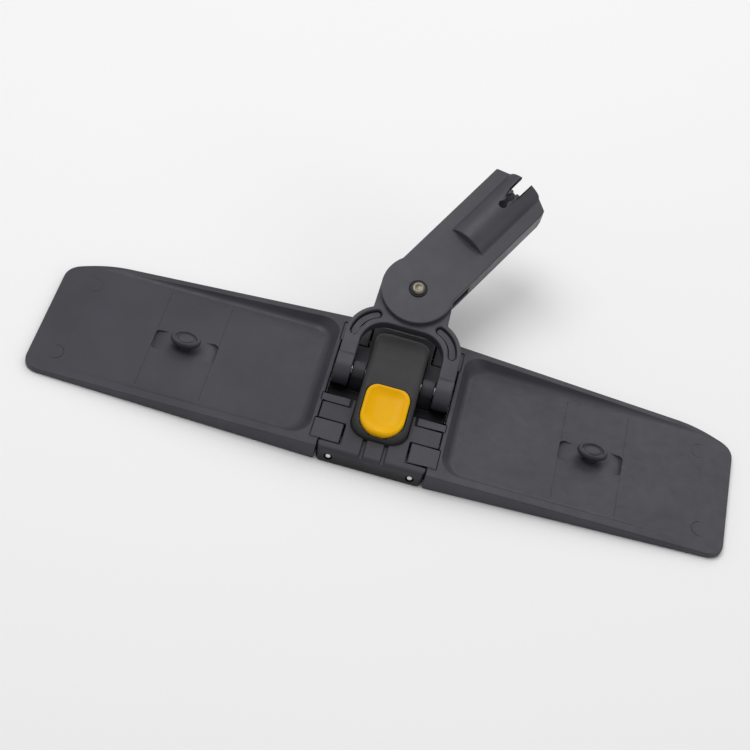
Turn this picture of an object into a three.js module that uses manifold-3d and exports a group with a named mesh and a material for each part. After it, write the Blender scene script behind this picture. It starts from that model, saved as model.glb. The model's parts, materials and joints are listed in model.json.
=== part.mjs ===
// Folding flat mop frame: a centre plate, two folding wings, a two-axis handle joint and a socket.
// Millimetres, +Z up. The origin is the middle of the underside, +X runs along the frame's length,
// and -Y is the side with the foot button. It is shown flat, with the handle joint laid back.
import * as THREE from "three";
import { mergeVertices } from "three/addons/utils/BufferGeometryUtils.js";
import { ConvexGeometry } from "three/addons/geometries/ConvexGeometry.js";
import Module from "manifold-3d";

const wasm = await Module();
wasm.setup();

// ---------- driving dimensions ----------
const gap = 0.3; // clearance between neighbouring pieces
const runningGap = 0.15; // radial clearance of a pin in its hole

const halfLength = 200; // middle of the frame to a wing's tip
const halfDepth = 52.35; // middle to the front edge, at the root
const rootHeight = 11; // rim height beside the centre plate
const floorHeight = 4; // thickness of a wing's floor
const rimFade = 0.0465; // fall of the rim per millimetre of length
const frontTaper = 0.039; // how fast the front edge draws in along a wing
const rearTaper = 0.035;
const tipFrontRadius = 10;
const tipRearRadius = 8.5;
const tipShoulder = 34; // length over which the rear edge swings forward to the tip
const tipShoulderEnd = 22; // tip to where the straight rear edge would meet that swing
const tipShoulderDrop = 8.2; // how far forward it swings

const pinX = 23.1; // fold axis
const pinZ = 4.7;
const pinRadius = 1.5;
const wellFront = 11.9; // front edge of the well for the yoke's foot
const wellRear = 18.3;
const lugInner = 18.3; // the centre plate's lug begins this far from the middle
const lugOuter = halfDepth - 21.25;
const cheekInner = halfDepth - 5.55; // the centre plate's end cheek begins here
const knuckleX = 18.6; // inner end of a wing's knuckle
const lugX = 34.4; // outer end of the centre plate's lug
const cheekX = 30.4; // outer end of the end cheek

const pocketRootX = 42; // floor edge of a wing's pocket
const pocketTipX = halfLength - 8;
const pocketFront = halfDepth - 11.35;
const pocketRear = halfDepth - 8.55;
const pocketRadius = 9;
const pocketTopGrowFront = 6.2; // how far the pocket's sloping walls open out up to the rim
const pocketTopGrowRear = 4.1;
const pocketTopGrowRoot = 4.9;

const knobX = 0.595 * halfLength; // stud knob on each wing
const knobHeadLength = 17.5;
const knobHeadWidth = 11.8;
const knobHeadHeight = 4.4;
const knobRise = 7.2; // top of the head above the wing's floor
const knobStemRadius = 3.2;
const dishStart = 10.5; // a ramped dish on each side of the knob, from here
const dishEnd = 18.2;
const dishHalfWidth = 7.3;
const dishDepth = 1.6;
const knobSeat = 2; // the counterbore under the knob is this deep
const knobScrewHead = 4.6;
const knobScrewShank = 1.3;

const baseFloor = 3; // floor of the centre plate under the cover
const coverHalfWidth = 16;
const coverFront = 14.35 - halfDepth;
const coverRear = halfDepth - 9.35;
const coverFrontRadius = 11;
const coverRearRadius = 12;
const coverWall = 2;
const coverCrown = 25.5; // highest line of the cover
const coverScrews = [[-11.3, -1.6], [11.3, -1.6], [0, 25]];
const bossRadius = 3.2;
const screwHeadRadius = 2.8;
const screwHeadHeight = 1.2;
const screwShankRadius = 1.3;
const grooveXs = [-5.8, 6.3]; // two short grooves in the plate in front of the cover
const grooveHalfWidth = 1.1;
const grooveDepth = 1.6;
const plateCornerRadius = 3.5; // corners of the centre plate, seen from above
const edgeRounding = 3; // front and rear top edges of the centre plate
const buttonHalfWidth = 12.6;
const buttonFront = coverFront + 1.4;
const buttonRear = -8;
const buttonRearTop = 25.5; // height of the foot button's rear edge
const buttonSlope = 0.3226; // fall of its face per millimetre towards the front
const buttonFrontRadius = 11; // corner radii, seen from above
const buttonRearRadius = 6.5;
const buttonClear = 0.35; // gap round the button in the cover's window
const buttonStand = 1.3; // how far it stands out of the cover
const buttonTravel = 3.5;
const thumbDish = [buttonHalfWidth - 2.3, (buttonRear - buttonFront) / 2 - 2.35, 1.4]; // half-sizes
const springY = buttonFront + 14.8;
const springRadius = 4.2;
const springWire = 1;
const boltY = buttonFront + 5.6; // middle of the latch bolts
const boltWidth = 5.6;
const boltHeight = 5;
const boltInnerX = 3.6;
const rampX = 7; // top of the bolt's 45-degree ramp

const axleY = 8; // yoke axle
const axleZ = 13;
const axleRadius = 3;
const pillarRadius = 6;
const yokeLean = 22; // degrees that the yoke stands above level, laid back
const yokeInnerX = 24.3; // inner face of a leg
const yokeOuterX = 33.9;
const yokeHalfThickness = 4;
const eyeRadius = 9.5;
const archInner = 32.4; // axle to the inside of the arch
const archCornerRadius = 14.5;
const shoulderRadius = 20.8; // outside corners of the fork
const shoulderRise = 21.5; // axle to the centres of those corners
const neckHalfWidth = 22;
const kidneyRadius = 15.7; // middle line of the curved pocket in each shoulder
const kidneyHalfWidth = 2.5;
const kidneyDepth = 2;
const kidneyStart = 0.09; // radians round the shoulder
const kidneyEnd = 1.22;
const rivetReach = 56.4; // axle to the rivet
const tongueRadius = 21.5;
const bushWall = 1.5;
const capThickness = 1.2;

const socketSwing = 28.2; // degrees that the socket is swung towards +X
const socketHalfWidth = 19.6;
const socketHalfThickness = 7.5;
const socketDiscRadius = 21.4;
const socketLength = 94.4; // rivet to the middle of the mouth
const mouthFlat = 10; // half-width of the mouth's square end; its corners fall away beyond this
const mouthFalls = { left: 0.36, right: 0.52 }; // per millimetre
const tubeStart = 42;
const tubeRadius = 13.8;
const handleRadius = 11; // bore for a 22 mm handle
const boreStart = 50;
const slotHalfWidth = 3.4; // open end of the keyhole slot
const slotDepth = 10.4;
const keyholeRadius = 2.4; // the two holes at the closed end of the slot
const keyholeOffsets = [5, 11.3]; // beyond the open part of the slot
const keyholeSlitHalf = 1.2;
const rivetRadius = 2.9;
const rivetHeadRadius = 3.9;
const washerRadius = 4.8;
const washerThickness = 0.6;
const washerRecess = 0.8;

// ---------- materials ----------
const finish = (color, roughness, metalness) =>
  new THREE.MeshStandardMaterial({ color, roughness, metalness });
const charcoal = 0x4c4c50;
const black = 0x39393b;
const yellow = 0xfabe05;
const steel = 0xc8c8c6;

// ---------- solids ----------
function solid(geometry) {
  const plain = geometry.index ? geometry.toNonIndexed() : geometry.clone();
  plain.deleteAttribute("normal");
  plain.deleteAttribute("uv");
  const merged = mergeVertices(plain, 1e-5);
  const vertProperties = new Float32Array(merged.attributes.position.array);
  const triVerts = new Uint32Array(merged.index.array);
  return new wasm.Manifold(new wasm.Mesh({ numProp: 3, vertProperties, triVerts }));
}

const join = (...pieces) => pieces.reduce((a, b) => a.add(b));
const cut = (piece, ...tools) => tools.reduce((a, b) => a.subtract(b), piece);

function block(x0, x1, y0, y1, z0, z1) {
  const box = new THREE.BoxGeometry(x1 - x0, y1 - y0, z1 - z0);
  box.translate((x0 + x1) / 2, (y0 + y1) / 2, (z0 + z1) / 2);
  return solid(box);
}

// A cylinder from one end to the other along an axis: "x", "y" or "z".
function rod(radius, axis, from, to, [a, b], sides = 24, endRadius = radius) {
  const cylinder = new THREE.CylinderGeometry(endRadius, radius, to - from, sides);
  const middle = (from + to) / 2;
  if (axis === "x") cylinder.rotateZ(-Math.PI / 2).translate(middle, a, b);
  if (axis === "y") cylinder.translate(a, middle, b);
  if (axis === "z") cylinder.rotateX(Math.PI / 2).translate(a, b, middle);
  return solid(cylinder);
}

function slab(shape, z0, z1, curveSegments = 6) {
  const settings = { depth: z1 - z0, bevelEnabled: false, curveSegments };
  return solid(new THREE.ExtrudeGeometry(shape, settings).translate(0, 0, z0));
}

// A side profile of [y, z] corners, extruded along X.
function sideSlab(corners, x0, x1) {
  const shape = new THREE.Shape(corners.map(([y, z]) => new THREE.Vector2(y, z)));
  const profile = new THREE.ExtrudeGeometry(shape, { depth: x1 - x0, bevelEnabled: false });
  return solid(profile.rotateX(Math.PI / 2).rotateZ(Math.PI / 2).translate(x0, 0, 0));
}

function roundedOutline(x0, x1, y0, y1, frontRadius, rearRadius) {
  const shape = new THREE.Shape();
  shape.moveTo(x0 + frontRadius, y0);
  shape.lineTo(x1 - frontRadius, y0);
  shape.absarc(x1 - frontRadius, y0 + frontRadius, frontRadius, -Math.PI / 2, 0);
  shape.lineTo(x1, y1 - rearRadius);
  shape.absarc(x1 - rearRadius, y1 - rearRadius, rearRadius, 0, Math.PI / 2);
  shape.lineTo(x0 + rearRadius, y1);
  shape.absarc(x0 + rearRadius, y1 - rearRadius, rearRadius, Math.PI / 2, Math.PI);
  shape.lineTo(x0, y0 + frontRadius);
  shape.absarc(x0 + frontRadius, y0 + frontRadius, frontRadius, Math.PI, Math.PI * 1.5);
  return shape;
}

const part = new THREE.Group();
part.name = "flat_mop_frame";

function add(name, manifold, material, parent = part) {
  const { vertProperties, triVerts } = manifold.getMesh();
  const geometry = new THREE.BufferGeometry();
  geometry.setAttribute("position", new THREE.BufferAttribute(vertProperties, 3));
  geometry.setIndex(new THREE.BufferAttribute(triVerts, 1));
  geometry.computeVertexNormals();
  const mesh = new THREE.Mesh(geometry, material);
  mesh.name = name;
  parent.add(mesh);
}

// ---------- centre plate ----------
// Below the pin, a hinge lug is rounded about the fold axis so that it clears the swinging wing.
function lug(side, innerX, outerX, y0, y1) {
  const reach = outerX - pinX;
  const x0 = Math.min(side * innerX, side * outerX);
  const x1 = Math.max(side * innerX, side * outerX);
  const body = block(x0, x1, y0, y1, 0, rootHeight);
  const beyondPin = block(Math.min(side * pinX, side * (outerX + 1)),
    Math.max(side * pinX, side * (outerX + 1)), y0 - 1, y1 + 1, -1, pinZ);
  const rounding = rod(reach, "y", y0 - 2, y1 + 2, [side * pinX, pinZ], 40);
  return cut(body, cut(beyondPin, rounding));
}

function centreCore() {
  const wallX = knuckleX - gap;
  const core = block(-wallX, wallX, -halfDepth, halfDepth, 0, rootHeight);
  const pocket = slab(roundedOutline(-coverHalfWidth - gap, coverHalfWidth + gap, coverFront - gap,
    coverRear + gap, coverFrontRadius + gap, coverRearRadius + gap), baseFloor, rootHeight + 1);
  const wells = block(-wallX - 1, wallX + 1, -wellFront, wellRear, baseFloor, rootHeight + 1);
  return cut(core, pocket, wells);
}

function pillar(side) {
  const x0 = side > 0 ? coverHalfWidth + gap : -(yokeInnerX - 0.4);
  const x1 = side > 0 ? yokeInnerX - 0.4 : -(coverHalfWidth + gap);
  const foot = block(x0, x1, axleY - pillarRadius, axleY + pillarRadius, 0, axleZ);
  return join(foot, rod(pillarRadius, "x", x0, x1, [axleY, axleZ], 32));
}

function centrePlate() {
  let plate = centreCore();
  for (const side of [-1, 1]) {
    for (const [y0, y1] of [[-lugOuter, -lugInner], [lugInner, lugOuter]]) {
      plate = join(plate, lug(side, coverHalfWidth + 1, lugX, y0 + gap / 2, y1 - gap / 2));
    }
    for (const [y0, y1] of [[-halfDepth, -cheekInner], [cheekInner, halfDepth]]) {
      const inset = y0 < 0 ? [0, -gap / 2] : [gap / 2, 0];
      plate = join(plate, lug(side, coverHalfWidth + 1, cheekX, y0 + inset[0], y1 + inset[1]));
    }
    const wellFloor = lug(side, coverHalfWidth + 1, lugX, -wellFront + gap / 2, lugInner + gap);
    plate = join(plate, cut(wellFloor, block(-halfLength, halfLength, -halfDepth, halfDepth,
      baseFloor, rootHeight + 1)));
    plate = join(plate, pillar(side));
    plate = cut(plate, rod(pinRadius + runningGap, "y", -halfDepth - 1, -wellFront + 1,
      [side * pinX, pinZ], 16));
    plate = cut(plate, rod(pinRadius + runningGap, "y", wellRear - 1, halfDepth + 1,
      [side * pinX, pinZ], 16));
    const slotEnds = [side * (coverHalfWidth - 4), side * (knuckleX + 1)];
    plate = cut(plate, block(Math.min(...slotEnds), Math.max(...slotEnds), boltY - boltWidth / 2 - gap,
      boltY + boltWidth / 2 + gap, baseFloor, baseFloor + boltHeight + 2 * gap));
  }
  for (const grooveX of grooveXs) {
    plate = cut(plate, block(grooveX - grooveHalfWidth, grooveX + grooveHalfWidth, -halfDepth - 1,
      coverFront, rootHeight - grooveDepth, rootHeight + 1));
  }
  plate = cut(plate, rod(axleRadius + runningGap, "x", -halfDepth, halfDepth, [axleY, axleZ]));
  for (const place of coverScrews) {
    plate = cut(plate, rod(screwShankRadius + gap, "z", -1, baseFloor + 1, place, 16));
    plate = cut(plate, rod(screwHeadRadius + gap, "z", -1, screwHeadHeight + 2 * gap, place, 20));
  }
  return cut(plate, ...frontRounding(), ...plateCorners());
}

// The plate's long front and rear top edges are rounded over.
function frontRounding() {
  const radius = edgeRounding;
  return [-1, 1].map((side) => {
    const y = side * (halfDepth - radius);
    const z = rootHeight - radius;
    const corner = block(-cheekX - 1, cheekX + 1, Math.min(y, y + side * (radius + 1)),
      Math.max(y, y + side * (radius + 1)), z, rootHeight + 1);
    return cut(corner, rod(radius, "x", -cheekX - 2, cheekX + 2, [y, z], 24));
  });
}

// The four corners of the end cheeks, rounded as seen from above.
function plateCorners() {
  const corners = [];
  for (const side of [-1, 1]) {
    for (const end of [-1, 1]) {
      const x = side * (cheekX - plateCornerRadius);
      const y = end * (halfDepth - plateCornerRadius);
      const square = block(Math.min(x, side * (cheekX + 1)), Math.max(x, side * (cheekX + 1)),
        Math.min(y, end * (halfDepth + 1)), Math.max(y, end * (halfDepth + 1)), -1, rootHeight + 1);
      corners.push(cut(square, rod(plateCornerRadius, "z", -2, rootHeight + 2, [x, y], 32)));
    }
  }
  return corners;
}

// ---------- wings ----------
const frontEdge = (x) => -halfDepth + frontTaper * (x - cheekX);
const rearEdge = (x) => halfDepth - rearTaper * (x - cheekX);
const rimHeight = (x) => rootHeight - rimFade * (x - cheekX);

// Outline of the right wing, with its hinge side left straight.
function wingOutline(rootX) {
  const tip = halfLength;
  const shape = new THREE.Shape();
  shape.moveTo(rootX, frontEdge(rootX));
  shape.lineTo(tip - tipFrontRadius, frontEdge(tip - tipFrontRadius));
  shape.quadraticCurveTo(tip, frontEdge(tip), tip, frontEdge(tip) + tipFrontRadius);
  const cornerY = rearEdge(tip) - tipShoulderDrop;
  const swing = tipShoulderDrop / tipShoulderEnd;
  shape.lineTo(tip, cornerY - tipRearRadius);
  shape.quadraticCurveTo(tip, cornerY, tip - tipRearRadius, cornerY + tipRearRadius * swing);
  shape.quadraticCurveTo(tip - tipShoulderEnd, rearEdge(tip - tipShoulderEnd), tip - tipShoulder,
    rearEdge(tip - tipShoulder));
  shape.lineTo(rootX, rearEdge(rootX));
  shape.closePath();
  return shape;
}

// The pocket narrows from the rim down to the floor, so it is the hull of two rounded outlines.
function wingPocket() {
  const rise = rootHeight - floorHeight;
  const topTip = pocketTipX + 6;
  const low = roundedOutline(pocketRootX, pocketTipX, -pocketFront, pocketRear,
    pocketRadius, pocketRadius);
  const high = roundedOutline(pocketRootX - pocketTopGrowRoot, topTip,
    -pocketFront - pocketTopGrowFront, pocketRear + pocketTopGrowRear, pocketRadius + 3,
    pocketRadius + 3);
  const points = [];
  for (const p of low.getPoints(8)) points.push(new THREE.Vector3(p.x, p.y, floorHeight));
  for (const p of high.getPoints(8)) points.push(new THREE.Vector3(p.x, p.y, floorHeight + rise));
  return solid(new ConvexGeometry(points));
}

function rimCut() {
  const far = halfLength + 20;
  const wedge = new THREE.Shape();
  wedge.moveTo(cheekX, rootHeight);
  wedge.lineTo(far, Math.max(rimHeight(far), 0.5));
  wedge.lineTo(far, rootHeight + 10);
  wedge.lineTo(cheekX, rootHeight + 10);
  const depth = 2 * halfDepth + 20;
  const geometry = new THREE.ExtrudeGeometry(wedge, { depth, bevelEnabled: false });
  return solid(geometry.rotateX(Math.PI / 2).translate(0, depth / 2, 0));
}

// A knuckle reaches in over the pin, rounded about it below so that it can swing up.
function wingKnuckle(y0, y1) {
  const innerX = knuckleX + gap;
  const body = block(innerX, lugX + gap + 1, y0, y1, 0, rootHeight);
  const inside = block(innerX - 1, pinX, y0 - 1, y1 + 1, -1, pinZ);
  const rounding = rod(pinX - innerX, "y", y0 - 2, y1 + 2, [pinX, pinZ], 40);
  return cut(body, cut(inside, rounding));
}

// A ramp that falls away from the knob and ends in a straight step with rounded corners.
function knobDish(direction) {
  const x = [direction * dishStart, direction * dishEnd];
  const outline = roundedOutline(Math.min(...x), Math.max(...x), -dishHalfWidth, dishHalfWidth, 2, 2);
  const ramp = new THREE.BoxGeometry(24, 3 * dishHalfWidth, 4).translate(0, 0, 2);
  ramp.rotateY(direction * Math.atan2(dishDepth, dishEnd - dishStart));
  ramp.translate(direction * dishStart, 0, 0);
  return slab(outline, -2, 1, 4).intersect(solid(ramp)).translate([knobX, 0, floorHeight]);
}

function rightWing() {
  const rootX = cheekX + 2 * gap;
  const clear = gap / 2;
  let wing = slab(wingOutline(rootX), 0, rootHeight, 8);
  const lugPocketX = lugX + gap;
  wing = cut(wing, block(rootX - 1, lugPocketX, -lugOuter - clear, lugOuter + clear, -1, rootHeight + 1));
  wing = join(wing, wingKnuckle(-cheekInner + clear, -lugOuter - clear));
  wing = join(wing, wingKnuckle(lugOuter + clear, cheekInner - clear));
  wing = join(wing, wingKnuckle(-lugInner + clear, -wellFront));
  wing = cut(wing, wingPocket(), rimCut(), knobDish(-1), knobDish(1));
  wing = cut(wing, rod(pinRadius + 2 * runningGap, "y", -halfDepth - 1, halfDepth + 1, [pinX, pinZ], 16));
  wing = cut(wing, rod(knobStemRadius + gap, "z", -1, floorHeight + 1, [knobX, 0]));
  wing = cut(wing, rod(knobScrewHead + gap, "z", -1, knobSeat, [knobX, 0]));
  return wing;
}

// ---------- knobs ----------
const knobBoreTop = floorHeight + knobRise - knobHeadHeight + 1.5;

function knob() {
  const top = floorHeight + knobRise;
  const headBase = top - knobHeadHeight;
  const profile = [[0, 0], [0.82, 0], [0.97, 0.25], [1, 0.6], [0.93, 1], [0.78, 1], [0.68, 0.72], [0, 0.6]];
  const points = profile.map(([r, z]) => new THREE.Vector2(r, z));
  const lathe = new THREE.LatheGeometry(points, 24).rotateX(Math.PI / 2);
  lathe.scale(knobHeadLength / 2, knobHeadWidth / 2, knobHeadHeight).translate(0, 0, headBase);
  const collar = rod(knobStemRadius + 1.2, "z", floorHeight + gap, headBase + 0.5, [0, 0]);
  const stem = rod(knobStemRadius, "z", knobSeat + gap, floorHeight + 1, [0, 0]);
  const bore = rod(knobScrewShank + gap, "z", 0, knobBoreTop, [0, 0], 16);
  return cut(join(solid(lathe), collar, stem), bore);
}

function screw(headRadius, headHeight, shankRadius, length) {
  const head = rod(headRadius, "z", 0, headHeight, [0, 0], 24);
  const cross = join(block(-headRadius * 0.55, headRadius * 0.55, -0.35, 0.35, -1, headHeight * 0.5),
    block(-0.35, 0.35, -headRadius * 0.55, headRadius * 0.55, -1, headHeight * 0.5));
  return cut(join(head, rod(shankRadius, "z", headHeight / 2, length, [0, 0], 16)), cross);
}

// ---------- cover and foot button ----------
const buttonFace = (y) => buttonRearTop + (y - buttonRear) * buttonSlope;

// The cover's solid shape, drawn in all over by "inset".
function coverShape(inset, floor) {
  const bezel = (y) => buttonFace(y) - buttonStand - inset;
  const rearRun = coverRear - inset;
  const crown = coverCrown - inset;
  const corners = [[coverFront + inset, floor], [coverFront + inset, bezel(coverFront + 3)],
    [coverFront + 2 + inset, bezel(coverFront + 2)], [buttonRear + 2, bezel(buttonRear + 2)],
    [buttonRear + 7, crown - 0.3], [axleY - 2, crown], [axleY + 8, crown - 0.4],
    [coverRear - 20, crown - 1.4], [coverRear - 13, crown - 2.8], [coverRear - 8, crown - 4.7],
    [coverRear - 4.4 - inset / 2, crown - 7.3], [rearRun - 1.6, crown - 11], [rearRun, floor]];
  const side = sideSlab(corners, -coverHalfWidth, coverHalfWidth);
  const plan = roundedOutline(-coverHalfWidth + inset, coverHalfWidth - inset, coverFront + inset,
    coverRear - inset, coverFrontRadius - inset, coverRearRadius - inset);
  return side.intersect(slab(plan, floor - 1, coverCrown + 5));
}

function coverShell() {
  const floor = baseFloor + gap;
  let shell = cut(coverShape(0, floor), coverShape(coverWall, floor - 1));
  const window = roundedOutline(-buttonHalfWidth - buttonClear, buttonHalfWidth + buttonClear,
    buttonFront - buttonClear, buttonRear + buttonClear, buttonFrontRadius + buttonClear,
    buttonRearRadius + buttonClear);
  for (const [x, y] of coverScrews) {
    const boss = rod(bossRadius, "z", floor, coverCrown, [x, y], 24).intersect(coverShape(0.5, floor - 1));
    shell = join(shell, boss);
    shell = cut(shell, rod(screwShankRadius + gap, "z", 0, 14, [x, y], 16));
  }
  shell = cut(shell, slab(window, baseFloor + gap + boltHeight, coverCrown + 9));
  const notchHalf = boltWidth / 2 + gap;
  shell = cut(shell, block(-coverHalfWidth - 1, coverHalfWidth + 1, boltY - notchHalf,
    boltY + notchHalf, 0, baseFloor + boltHeight + 2 * gap));
  return cut(shell, rod(axleRadius + gap, "x", -halfDepth, halfDepth, [axleY, axleZ]));
}

const buttonUnder = baseFloor + gap + boltHeight + buttonTravel + gap; // its underside stays clear of the bolts

// A wedge fin, one for each bolt, with its face on the bolt's 45-degree ramp.
function buttonFin(side) {
  const slide = rampX + baseFloor + gap + boltHeight + gap * Math.SQRT2;
  const low = baseFloor + gap + buttonTravel;
  const inner = slide - low;
  const outer = inner + 1.2;
  const high = buttonUnder + 0.5;
  const bend = slide - (baseFloor + gap + boltHeight + gap);
  const corners = [[inner, low], [outer, low], [outer, high], [bend, high], [bend, slide - bend]];
  const shape = new THREE.Shape(corners.map(([x, z]) => new THREE.Vector2(side * x, z)));
  const depth = boltWidth - 2.4;
  const fin = new THREE.ExtrudeGeometry(shape, { depth, bevelEnabled: false });
  return solid(fin.rotateX(Math.PI / 2).translate(0, boltY + depth / 2, 0));
}

function footButton() {
  const outline = roundedOutline(-buttonHalfWidth, buttonHalfWidth, buttonFront, buttonRear,
    buttonFrontRadius, buttonRearRadius);
  const column = slab(outline, buttonUnder, buttonRearTop + 5);
  const corners = [[buttonFront - 5, 0], [buttonFront - 5, buttonFace(buttonFront - 5)],
    [buttonRear + 5, buttonFace(buttonRear + 5)], [buttonRear + 5, 0]];
  let button = column.intersect(sideSlab(corners, -halfDepth, halfDepth));
  const dish = new THREE.SphereGeometry(1, 24, 12).scale(...thumbDish);
  dish.rotateX(Math.atan(buttonSlope));
  dish.translate(0, (buttonFront + buttonRear) / 2, buttonFace((buttonFront + buttonRear) / 2) + 0.2);
  button = cut(button, solid(dish));
  button = cut(button, rod(springRadius + springWire + gap, "z", 0, buttonUnder + 2.5, [0, springY]));
  return join(button, buttonFin(-1), buttonFin(1));
}

function buttonSpring() {
  const low = baseFloor + gap + springWire;
  const high = buttonUnder + 2.5 - gap - springWire;
  const turns = 4;
  class Helix extends THREE.Curve {
    getPoint(t, target = new THREE.Vector3()) {
      const angle = 2 * Math.PI * turns * t;
      return target.set(springRadius * Math.cos(angle), springY + springRadius * Math.sin(angle),
        low + (high - low) * t);
    }
  }
  const wire = new THREE.Shape().absarc(0, 0, springWire * 0.6, 0, 2 * Math.PI);
  const settings = { steps: turns * 12, bevelEnabled: false, extrudePath: new Helix(), curveSegments: 2 };
  return solid(new THREE.ExtrudeGeometry(wire, settings));
}

function latchBolt(side) {
  const low = baseFloor + gap;
  const high = low + boltHeight;
  const nose = knuckleX - gap;
  const x0 = Math.min(side * boltInnerX, side * nose);
  const x1 = Math.max(side * boltInnerX, side * nose);
  const bolt = block(x0, x1, boltY - boltWidth / 2, boltY + boltWidth / 2, low, high);
  const corners = [[rampX, high], [rampX + boltHeight + 1, low - 1], [nose - 2, low - 1],
    [nose - 2, high + 1], [rampX - 1, high + 1]];
  const shape = new THREE.Shape(corners.map(([x, z]) => new THREE.Vector2(side * x, z)));
  const depth = boltWidth - 1.6;
  const window = new THREE.ExtrudeGeometry(shape, { depth, bevelEnabled: false });
  return cut(bolt, solid(window.rotateX(Math.PI / 2).translate(0, boltY + depth / 2, 0)));
}

// ---------- yoke, drawn flat: X across, Y along the legs from the axle, Z through its thickness ----------
const archCornerX = yokeInnerX - archCornerRadius;
const archCornerY = archInner - archCornerRadius;
const shoulderX = yokeOuterX - shoulderRadius;

function yokeOutline() {
  const neckMeet = shoulderRise + Math.sqrt(shoulderRadius ** 2 - (neckHalfWidth - shoulderX) ** 2);
  const meetAngle = Math.atan2(neckMeet - shoulderRise, neckHalfWidth - shoulderX);
  const tongueAngle = Math.acos(Math.min(1, (neckHalfWidth - 0.6) / tongueRadius));
  const shape = new THREE.Shape();
  shape.moveTo(yokeOuterX, 0);
  shape.lineTo(yokeOuterX, shoulderRise);
  shape.absarc(shoulderX, shoulderRise, shoulderRadius, 0, meetAngle);
  shape.absarc(0, rivetReach, tongueRadius, tongueAngle, Math.PI - tongueAngle);
  shape.lineTo(-neckHalfWidth, neckMeet);
  shape.absarc(-shoulderX, shoulderRise, shoulderRadius, Math.PI - meetAngle, Math.PI);
  shape.lineTo(-yokeOuterX, 0);
  shape.lineTo(-yokeInnerX, 0);
  shape.lineTo(-yokeInnerX, archCornerY);
  shape.absarc(-archCornerX, archCornerY, archCornerRadius, Math.PI, Math.PI / 2, true);
  shape.absarc(archCornerX, archCornerY, archCornerRadius, Math.PI / 2, 0, true);
  shape.lineTo(yokeInnerX, 0);
  shape.closePath();
  return shape;
}

// The shallow curved pocket that follows each shoulder of the arch.
function kidney(side) {
  const from = side > 0 ? kidneyStart : Math.PI - kidneyStart;
  const to = side > 0 ? kidneyEnd : Math.PI - kidneyEnd;
  const centre = side * shoulderX;
  const end = (angle) => [centre + kidneyRadius * Math.cos(angle),
    shoulderRise + kidneyRadius * Math.sin(angle)];
  const shape = new THREE.Shape();
  const backwards = side < 0;
  shape.absarc(centre, shoulderRise, kidneyRadius + kidneyHalfWidth, from, to, backwards);
  shape.absarc(...end(to), kidneyHalfWidth, to, to + side * Math.PI, backwards);
  shape.absarc(centre, shoulderRise, kidneyRadius - kidneyHalfWidth, to, from, !backwards);
  shape.absarc(...end(from), kidneyHalfWidth, from + Math.PI, from + Math.PI + side * Math.PI, backwards);
  return slab(shape, yokeHalfThickness - kidneyDepth, yokeHalfThickness + 1, 8);
}

const bushRadius = axleRadius + runningGap + bushWall;

function yoke() {
  let fork = slab(yokeOutline(), -yokeHalfThickness, yokeHalfThickness, 10);
  for (const side of [-1, 1]) {
    const x0 = Math.min(side * yokeInnerX, side * yokeOuterX);
    const x1 = Math.max(side * yokeInnerX, side * yokeOuterX);
    fork = join(fork, rod(eyeRadius, "x", x0, x1, [0, 0], 32));
    fork = join(fork, heel(x0, x1));
    const seat = side * (yokeOuterX - capThickness - gap);
    const far = side * (yokeOuterX + 1);
    fork = cut(fork, rod(bushRadius + gap + 0.8, "x", Math.min(seat, far), Math.max(seat, far), [0, 0]));
    fork = cut(fork, kidney(side));
  }
  fork = cut(fork, rod(bushRadius + gap / 2, "x", -halfDepth, halfDepth, [0, 0]));
  return cut(fork, rod(rivetBushRadius + gap / 2, "z", -halfDepth, halfDepth, [0, rivetReach]));
}

// A heel under each leg rests on the centre plate's rear lug, which stops the yoke as it lies back.
function heel(x0, x1) {
  const lean = THREE.MathUtils.degToRad(yokeLean);
  const top = rootHeight + gap - axleZ;
  const place = (y, z) => {
    const along = (y - axleY) * Math.cos(lean) + z * Math.sin(lean);
    const out = -(y - axleY) * Math.sin(lean) + z * Math.cos(lean);
    return [along, out];
  };
  const near = place(wellRear + 0.6, top);
  const far = place(wellRear + 6, top);
  return sideSlab([near, far, [far[0], 0], [near[0], 0]], x0, x1);
}

// ---------- rivet and socket, drawn flat: X across, Y from the rivet to the mouth ----------
const rivetBushRadius = rivetRadius + runningGap + bushWall;

function socketOutline() {
  const sideAngle = Math.acos(socketHalfWidth / socketDiscRadius);
  const shape = new THREE.Shape();
  shape.absarc(0, 0, socketDiscRadius, Math.PI - sideAngle, 2 * Math.PI + sideAngle);
  shape.lineTo(socketHalfWidth, socketLength - 9);
  shape.lineTo(socketHalfWidth - 1.5, socketLength);
  shape.lineTo(-socketHalfWidth, socketLength);
  shape.closePath();
  return shape;
}

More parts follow.
